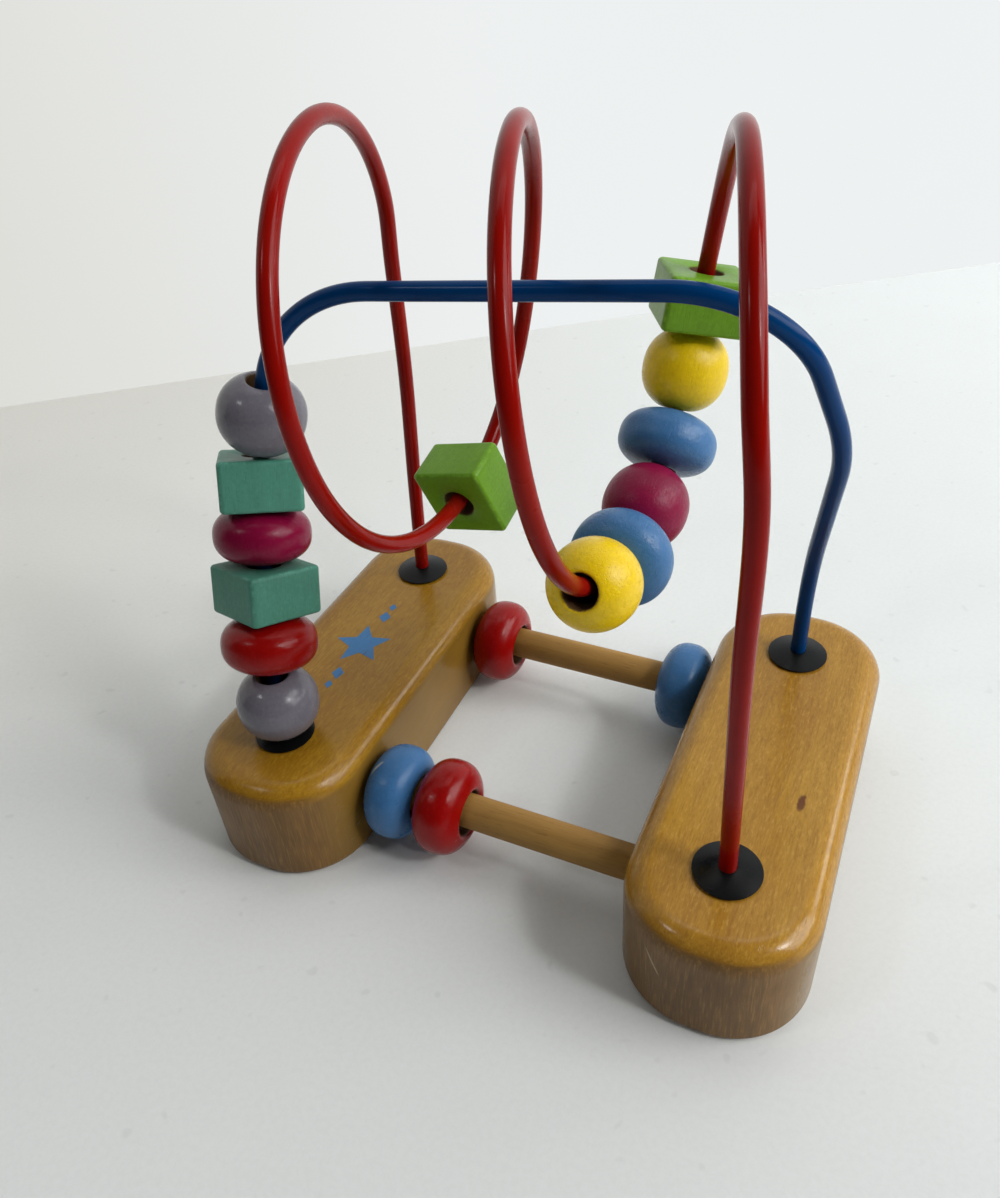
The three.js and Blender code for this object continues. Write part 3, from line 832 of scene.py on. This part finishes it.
def bead_paint(name, colour, grain, roughness, ripple, shine, bore=BEAD_BORE, scratch=None, square=False):
    """Satin paint on turned wood: faint grain, a fine orange peel, specks, scuffs and a bare bore."""
    material, nodes, shader = new_finish(name)
    place = nodes.add("ShaderNodeTexCoord").outputs["Object"]
    chance = nodes.add("ShaderNodeObjectInfo").outputs["Random"]
    apart = nodes.vector("ADD", place, nodes.vector("MULTIPLY", chance, (0.7, 0, 1.9)))
    figure = nodes.group(wood_figure, Vector=nodes.mapped(apart, turn=GRAIN_ALONG_Z))
    marks = nodes.group(handling, Vector=apart, Scale=95.0)
    bore_mask = nodes.group(bore_wall, Vector=place, Radius=bore * MM)["Mask"]
    peel = nodes.noise(apart, 1150, detail=4, roughness=0.65)
    light = shaded(colour, 1.22, 0.010)
    dark = shaded(colour, 0.62)
    paint = nodes.tint(colour, dark, figure["Clouds"], 0.24)
    paint = nodes.tint(paint, dark, figure["Bands"], grain * 0.5)
    paint = nodes.tint(paint, light, nodes.span(figure["Fibres"], 0.45, 0.75), grain)
    paint = nodes.tint(paint, dark, figure["Pores"], grain * 0.9)
    paint = nodes.tint(paint, dark, nodes.span(peel, 0.52, 0.72), 0.34)
    paint = nodes.tint(paint, light, nodes.span(peel, 0.48, 0.30), 0.40)
    paint = nodes.tint(paint, dark, marks["Specks"], 0.45)
    paint = nodes.tint(paint, light, marks["Scuff"], 0.18)
    if scratch:
        paint = nodes.tint(paint, SCRATCHED_PAINT, scratch_mask(nodes, place, scratch), 0.8)
    if square:
        # Lighter paint along the square edges: wear, and a painted highlight.
        edges = nodes.group(square_edge_wear_and_highlight, Vector=place)["Mask"]
        paint = nodes.tint(paint, shaded(colour, 1.8, 0.04), edges, 0.55)
    bare = nodes.blend(figure["Fibres"], BORE_WOOD, BORE_FIBRE)
    nodes.feed(shader["Base Color"], nodes.blend(bore_mask, paint, bare))
    rough = nodes.more(roughness, marks["Smudge"], 0.10)
    rough = nodes.more(rough, bore_mask, 0.4)
    rough = nodes.more(rough, peel, 0.08)
    nodes.feed(shader["Roughness"], rough)
    height = nodes.math("MULTIPLY", figure["Fibres"], 0.5)
    height = nodes.more(height, peel, 1.1)
    height = nodes.more(height, figure["Pores"], -0.5)
    height = nodes.math("SUBTRACT", height, marks["Specks"])
    nodes.feed(shader["Normal"], nodes.bump(height, strength=ripple, distance=0.00013))
    shader["Specular IOR Level"].default_value = shine
    return material


def wire_coating(name, colour, rubbed, shine):
    """Smooth plastic coating, duller where beads rub, with painted shade where it runs between the stacked
    beads.
    """
    material, nodes, shader = new_finish(name)
    place = nodes.add("ShaderNodeTexCoord").outputs["Object"]
    marks = nodes.group(handling, Vector=place, Scale=55.0)
    rub = nodes.span(nodes.noise(place, 26, detail=2), 0.52, 0.70)
    painted_shade = nodes.group(spot, Vector=place, Centre=WIRE_PAINTED_SHADE_CENTRE, Reach=WIRE_PAINTED_SHADE_REACH)["Mask"]
    dark = shaded(colour, 0.6)
    coat = nodes.tint(colour, dark, marks["Smudge"], 0.35)
    coat = nodes.tint(coat, rubbed, rub, 0.16)
    coat = nodes.tint(coat, dark, marks["Specks"], 0.4)
    # Painted shade on the wire between the stacked beads.
    coat = nodes.tint(coat, WIRE_PAINTED_SHADE, painted_shade, 0.85)
    nodes.feed(shader["Base Color"], coat)
    rough = nodes.more(0.15, marks["Smudge"], 0.08)
    nodes.feed(shader["Roughness"], nodes.more(rough, rub, 0.10))
    height = nodes.math("SUBTRACT", nodes.noise(place, 420, detail=2), marks["Specks"])
    nodes.feed(shader["Normal"], nodes.bump(height, strength=0.10, distance=0.00010))
    shader["Specular IOR Level"].default_value = shine
    return material


def black_plastic():
    """Satin moulded plastic caps with fine handling scuffs."""
    material, nodes, shader = new_finish("black_plastic")
    place = nodes.add("ShaderNodeTexCoord").outputs["Object"]
    marks = nodes.group(handling, Vector=place, Scale=120.0)
    colour = nodes.tint(CAP_BLACK, CAP_SMUDGE, marks["Smudge"], 0.5)
    colour = nodes.tint(colour, CAP_SCUFF, marks["Scuff"], 0.2)
    nodes.feed(shader["Base Color"], colour)
    nodes.feed(shader["Roughness"], nodes.more(0.24, marks["Smudge"], 0.14))
    height = nodes.math("SUBTRACT", nodes.noise(place, 2600, detail=2), marks["Scuff"])
    nodes.feed(shader["Normal"], nodes.bump(height, strength=0.18, distance=0.00006))
    shader["Specular IOR Level"].default_value = 0.2
    return material


def blue_ink():
    """A thin printed film, worn through in specks and along the wood's pores."""
    material, nodes, shader = new_finish("blue_ink")
    place = nodes.add("ShaderNodeTexCoord").outputs["Object"]
    marks = nodes.group(handling, Vector=place, Scale=70.0)
    pores = nodes.group(wood_figure, Vector=place)["Pores"]
    nodes.feed(shader["Base Color"], nodes.tint(INK, INK_SMUDGE, marks["Smudge"], 0.4))
    worn = nodes.math("MAXIMUM", marks["Specks"], nodes.math("MULTIPLY", pores, 0.6))
    nodes.feed(shader["Alpha"], nodes.more(0.9, worn, -0.6))
    shader["Roughness"].default_value = 0.42
    return material


wood = lacquered_wood()
dowel_wood = bare_wood()
plastic = black_plastic()
red_coating = wire_coating("red_coating", RED_COAT, RED_COAT_RUBBED, shine=0.13)
blue_coating = wire_coating("blue_coating", BLUE_COAT, BLUE_COAT_RUBBED, shine=0.11)
lavender_paint = bead_paint("lavender_paint", LAVENDER, grain=0.14, roughness=0.09, ripple=0.16, shine=0.34)
red_paint = bead_paint("red_paint", RED, grain=0.18, roughness=0.15, ripple=0.30, shine=0.22)
teal_paint = bead_paint("teal_paint", TEAL, grain=0.34, roughness=0.34, ripple=0.44, shine=0.22, square=True)
magenta_paint = bead_paint("magenta_paint", MAGENTA, grain=0.18, roughness=0.17, ripple=0.30, shine=0.22)
# The round magenta bead's paint is lighter than the flat one's, as a painted sheen.
magenta_paint_with_painted_sheen = bead_paint(
    "magenta_paint_with_painted_sheen", MAGENTA_WITH_PAINTED_SHEEN, grain=0.20, roughness=0.28, ripple=0.55, shine=0.25
)
green_paint = bead_paint(
    "green_paint", GREEN, grain=0.32, roughness=0.26, ripple=0.40, shine=0.26, square=True
)
yellow_paint = bead_paint("yellow_paint", YELLOW, grain=0.30, roughness=0.20, ripple=0.60, shine=0.32)
blue_paint = bead_paint("blue_paint", BLUE, grain=0.20, roughness=0.22, ripple=0.65, shine=0.34)

on_dowel = {"grain": 0.16, "bore": DOWEL_BEAD["bore"]}
blue_on_dowel = {"roughness": 0.20, "ripple": 0.30, "shine": 0.26, **on_dowel}
dowel_red_paint = bead_paint("dowel_red_paint", RED, roughness=0.14, ripple=0.24, shine=0.24, **on_dowel)
dowel_blue_paint = bead_paint("dowel_blue_paint", BLUE, **blue_on_dowel)
scratched_blue_paint = bead_paint("scratched_blue_paint", BLUE, scratch=BEAD_SCRATCH, **blue_on_dowel)


# Pieces

body_of = {node: body for body, nodes in frame["record"]["behaviour"]["bodies"].items() for node in nodes}


def add_object(name, shape, finish, crease=CREASE):
    """A smooth mesh object from vertices in millimetres and faces."""
    vertices, faces = shape
    mesh = bpy.data.meshes.new(name)
    mesh.from_pydata([Vector(point) * MM for point in vertices], [], faces)
    mesh.polygons.foreach_set("use_smooth", [True] * len(mesh.polygons))
    mesh.set_sharp_from_angle(angle=math.radians(crease))
    mesh.materials.append(finish)
    piece = bpy.data.objects.new(name, mesh)
    bpy.context.scene.collection.objects.link(piece)
    return piece


def dress(node, shape, finish, place=None, crease=CREASE):
    """Makes the piece that stands for a node of the part and rides on its body."""
    piece = add_object(node + "_look", shape, finish, crease)
    if place:
        piece.matrix_world = place
    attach(piece, body_of[node])
    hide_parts(node)


def middle(node):
    """The middle of a node at rest, in metres."""
    low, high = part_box(node)
    return (low + high) / 2


def wire_way(node, route):
    """The direction of a wire where a bead sits on it."""
    nearest = int(np.argmin(((route * MM - np.array(middle(node))) ** 2).sum(axis=1)))
    return Vector(route[nearest + 1] - route[nearest - 1]).normalized()


def threaded(node, along, roll):
    """Where a wire's bead sits: at its node's middle, with its bore along a direction."""
    across = (Vector((1, 0, 0)) - along * along.x).normalized()
    across = Matrix.Rotation(math.radians(roll), 3, along) @ across
    turn = Matrix((across, along.cross(across), along)).transposed().to_4x4()
    return Matrix.Translation(middle(node)) @ turn


def along_x(node):
    """Where a dowel's bead sits: at its node's middle, with its bore along X."""
    return Matrix.Translation(middle(node)) @ Matrix.Rotation(math.pi / 2, 4, "Y")


for node, side in (("left_block", -1), ("right_block", 1)):
    vertices, faces = wood_block()
    dress(node, ([(x + side * BLOCK_X, y, z) for x, y, z in vertices], faces), wood)

for node in ("front_dowel", "rear_dowel"):
    low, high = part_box(node)
    centre = middle(node) / MM
    vertices, faces = dowel((high.x - low.x) / MM / 2)
    dress(node, ([(z + centre.x, y + centre.y, -x + centre.z) for x, y, z in vertices], faces), dowel_wood)

red_line = red_route()
blue_line = blue_route()
dress("red_wire", wire(red_line), red_coating)
dress("blue_wire", wire(blue_line), blue_coating)

for node in ("front_left_cap", "rear_left_cap", "front_right_cap", "rear_right_cap"):
    spot_on_block = middle(node)
    spot_on_block.z = BLOCK_HEIGHT * MM
    cap = plug_cap(seats_bead=node == "front_left_cap")
    dress(node, cap, plastic, Matrix.Translation(spot_on_block), crease=CAP_CREASE)

round_bead = turned_bead(**ROUND_BEAD)
lavender_bead = turned_bead(**LAVENDER_BEAD)
flat_bead = turned_bead(**FLAT_BEAD)
dowel_bead = turned_bead(**DOWEL_BEAD)
block_bead = square_bead()

leaning = Vector(STACK_LEAN).normalized()
standing = Vector((0, 0, 1)).lerp(leaning, STAND_LEAN).normalized()
top_way = wire_way("lavender_bead_upper", blue_line)
rear_way = Matrix.Rotation(-math.radians(GREEN_REAR_LEAN), 3, "X") @ wire_way("green_block_rear", red_line)

for node, shape, finish, along, roll in (
    ("lavender_bead_lower", lavender_bead, lavender_paint, standing, 0),
    ("red_bead", flat_bead, red_paint, leaning, 40),
    ("teal_block_lower", block_bead, teal_paint, leaning, -20),
    ("magenta_bead_flat", flat_bead, magenta_paint, leaning, 75),
    ("teal_block_upper", block_bead, teal_paint, leaning, 38),
    ("lavender_bead_upper", lavender_bead, lavender_paint, top_way, 120),
    ("green_block_rear", block_bead, green_paint, rear_way, 27),
):
    dress(node, shape, finish, threaded(node, along, roll))

for node, shape, finish, roll in (
    ("green_block_front", block_bead, green_paint, -15),
    ("yellow_bead_lower", round_bead, yellow_paint, 0),
    ("blue_bead_lower", flat_bead, blue_paint, 50),
    ("magenta_bead_round", round_bead, magenta_paint_with_painted_sheen, 20),
    ("blue_bead_upper", flat_bead, blue_paint, 160),
    ("yellow_bead_upper", round_bead, yellow_paint, 200),
):
    dress(node, shape, finish, threaded(node, wire_way(node, red_line), roll))

for node, finish in (
    ("front_dowel_bead_blue", scratched_blue_paint),
    ("front_dowel_bead_red", dowel_red_paint),
    ("rear_dowel_bead_red", dowel_red_paint),
    ("rear_dowel_bead_blue", dowel_blue_paint),
):
    dress(node, dowel_bead, finish, along_x(node))


def block_print():
    """A star with two diamonds on each side of it, as flat outlines."""
    vertices, faces = [], []
    turn = Matrix.Rotation(math.radians(PRINT_TURN), 2)
    height = BLOCK_HEIGHT + PRINT_LIFT

    def outline(points, middle_y):
        first = len(vertices)
        for x, y in points:
            x, y = turn @ Vector((x, y))
            vertices.append((PRINT_CENTRE[0] + x, PRINT_CENTRE[1] + middle_y + y, height))
        faces.append(tuple(range(first, len(vertices))))

    star = []
    for point in range(2 * STAR_POINTS):
        angle = point * math.pi / STAR_POINTS + math.pi / 2
        reach = STAR_REACH if point % 2 == 0 else STAR_NOTCH
        star.append((reach * math.cos(angle), reach * math.sin(angle)))
    outline(star, 0)
    for distance, reach in DIAMONDS:
        half = DIAMOND_WIDTH * reach
        for side in (-1, 1):
            outline([(half, 0), (0, reach), (-half, 0), (0, -reach)], side * distance)
    return vertices, faces


star_print = add_object("left_block_star_print", block_print(), blue_ink())
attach(star_print, "frame")


# Table and wall: where they meet, and how far they reach, in metres

WALL_LEFT = (-0.3687, 0.1305)
WALL_RIGHT = (0.0982, 0.4719)
STAGE_LEFT_REACH = 1.2
STAGE_RIGHT_REACH = 1.8
STAGE_NEAR_REACH = 1.6
WALL_HEIGHT = 1.4


def table_white():
    """Painted white table with faint marks, with painted warm light on its left, painted cool light on its
    right and painted shade towards its near edge.
    """
    material, nodes, shader = new_finish("table_white")
    place = nodes.add("ShaderNodeTexCoord").outputs["Object"]
    marks = nodes.group(handling, Vector=place, Scale=6.0)
    where = nodes.parts(place)
    # Painted warm light on the left and cool light on the right.
    white = nodes.blend(nodes.span(where["X"], -0.30, 0.05), TABLE_WHITE_WARM_LIGHT, TABLE_WHITE_COOL_LIGHT)
    # Painted shade towards the near edge.
    white = nodes.blend(nodes.span(where["Y"], 0.02, -0.14), white, TABLE_NEAR_PAINTED_SHADE)
    paper = nodes.span(nodes.noise(place, 700, detail=3, roughness=0.7), 0.35, 0.7)
    colour = nodes.tint(white, WHITE_SMUDGE, marks["Smudge"], 0.03)
    colour = nodes.tint(colour, TABLE_PAPER, paper, 0.05)
    colour = nodes.tint(colour, TABLE_SPECK, marks["Specks"], 0.10)
    nodes.feed(shader["Base Color"], colour)
    nodes.feed(shader["Roughness"], nodes.more(0.6, marks["Smudge"], 0.1))
    shader["Specular IOR Level"].default_value = 0.2
    return material


def wall_white():
    """White wall that glows with its own colour for the camera and in reflections, and shows nothing from
    behind; painted shade makes it darker and warmer towards the left.
    """
    material, nodes, shader = new_finish("wall_white")
    place = nodes.add("ShaderNodeTexCoord").outputs["Object"]
    marks = nodes.group(handling, Vector=place, Scale=4.0)
    # Painted shade: darker and warmer towards the left.
    from_left = nodes.span(nodes.parts(place)["X"], -0.42, -0.10)
    white = nodes.blend(from_left, WALL_WHITE_PAINTED_SHADE, WALL_WHITE_LIT)
    colour = nodes.tint(white, WHITE_SMUDGE, marks["Smudge"], 0.02)
    nodes.feed(shader["Base Color"], colour)
    shader["Roughness"].default_value = 0.8
    glow = nodes.add("ShaderNodeEmission")
    nodes.feed(glow.inputs["Color"], colour)
    path = nodes.add("ShaderNodeLightPath").outputs
    seen = nodes.math("MAXIMUM", path["Is Camera Ray"], path["Is Glossy Ray"])
    seen = nodes.math("MAXIMUM", seen, path["Is Transmission Ray"])
    behind = nodes.add("ShaderNodeNewGeometry").outputs["Backfacing"]
    clear = nodes.add("ShaderNodeBsdfTransparent").outputs[0]
    own_nodes = material.node_tree.nodes
    front = nodes.mix_shaders(seen, own_nodes["Principled BSDF"].outputs[0], glow.outputs[0])
    nodes.feed(own_nodes["Material Output"].inputs["Surface"], nodes.mix_shaders(behind, front, clear))
    return material


def make_stage():
    """The table, and the wall that stands along its far edge."""
    start = Vector(WALL_LEFT)
    along = (Vector(WALL_RIGHT) - start).normalized()
    back = Vector((-along.y, along.x))
    left = start - along * STAGE_LEFT_REACH
    right = start + along * STAGE_RIGHT_REACH
    near = -back * STAGE_NEAR_REACH

    def panel(name, corners, finish):
        shape = [(flat.x / MM, flat.y / MM, height / MM) for flat, height in corners], [(0, 1, 2, 3)]
        return add_object(name, shape, finish)

    floor_corners = [(left + near, 0), (right + near, 0), (right, 0), (left, 0)]
    floor = panel("table_top", floor_corners, table_white())
    wall_corners = [(left, 0), (right, 0), (right, WALL_HEIGHT), (left, WALL_HEIGHT)]
    wall = panel("wall", wall_corners, wall_white())


make_stage()


# Light, in metres and watts, and the camera, in metres, radians and millimetres of lens

TOY_MIDDLE = (0, 0, 0.06)
BACK_OF_TABLE = (0, 0.3, 0)
ROOM_STRENGTH = 0.07
CAMERA_PLACE = (0.07992, -0.17522, 0.21512)
CAMERA_YAW = -0.483
CAMERA_PITCH = 0.660
CAMERA_ROLL = -0.085
CAMERA_LENS = 28.92
CAMERA_SENSOR = 36
CAMERA_NEAREST = 0.01


def area_light(name, place, aim, size, power):
    """A square lamp that faces a point."""
    light = bpy.data.lights.new(name, "AREA")
    light.shape = "SQUARE"
    light.size = size
    light.energy = power
    lamp = bpy.data.objects.new(name, light)
    lamp.location = place
    lamp.rotation_euler = (Vector(aim) - Vector(place)).to_track_quat("-Z", "Y").to_euler()
    bpy.context.scene.collection.objects.link(lamp)


area_light("window_light", place=(2.61, 0.51, 1.83), aim=TOY_MIDDLE, size=2.25, power=82)
area_light("back_lamp", place=(0.78, 0.64, 0.40), aim=TOY_MIDDLE, size=0.25, power=1.0)
area_light("ceiling_light", place=(-0.10, 0.55, 1.00), aim=BACK_OF_TABLE, size=0.9, power=3.6)
area_light("right_lamp", place=(0.75, -0.13, 0.70), aim=TOY_MIDDLE, size=0.09, power=1.5)
area_light("left_lamp", place=(-0.46, -0.50, 0.90), aim=TOY_MIDDLE, size=0.08, power=0.62)

world = bpy.data.worlds.new("room")
bpy.context.scene.world = world
world.use_nodes = True
background = world.node_tree.nodes["Background"].inputs
background["Color"].default_value = (1, 1, 1, 1)
background["Strength"].default_value = ROOM_STRENGTH

forward = Vector(
    (
        math.sin(CAMERA_YAW) * math.cos(CAMERA_PITCH),
        math.cos(CAMERA_YAW) * math.cos(CAMERA_PITCH),
        -math.sin(CAMERA_PITCH),
    )
)
level = Vector((math.cos(CAMERA_YAW), -math.sin(CAMERA_YAW), 0))
upright = level.cross(forward)
rolled = Matrix.Rotation(CAMERA_ROLL, 3, -forward)
camera_turn = Matrix((rolled @ level, rolled @ upright, -forward)).transposed().to_4x4()
lens = bpy.data.cameras.new("photo_view")
lens.sensor_width = CAMERA_SENSOR
lens.lens = CAMERA_LENS
lens.clip_start = CAMERA_NEAREST
camera = bpy.data.objects.new("photo_view", lens)
camera.matrix_world = Matrix.Translation(CAMERA_PLACE) @ camera_turn
bpy.context.scene.collection.objects.link(camera)
bpy.context.scene.camera = camera
bpy.context.scene.view_settings.view_transform = "Standard"
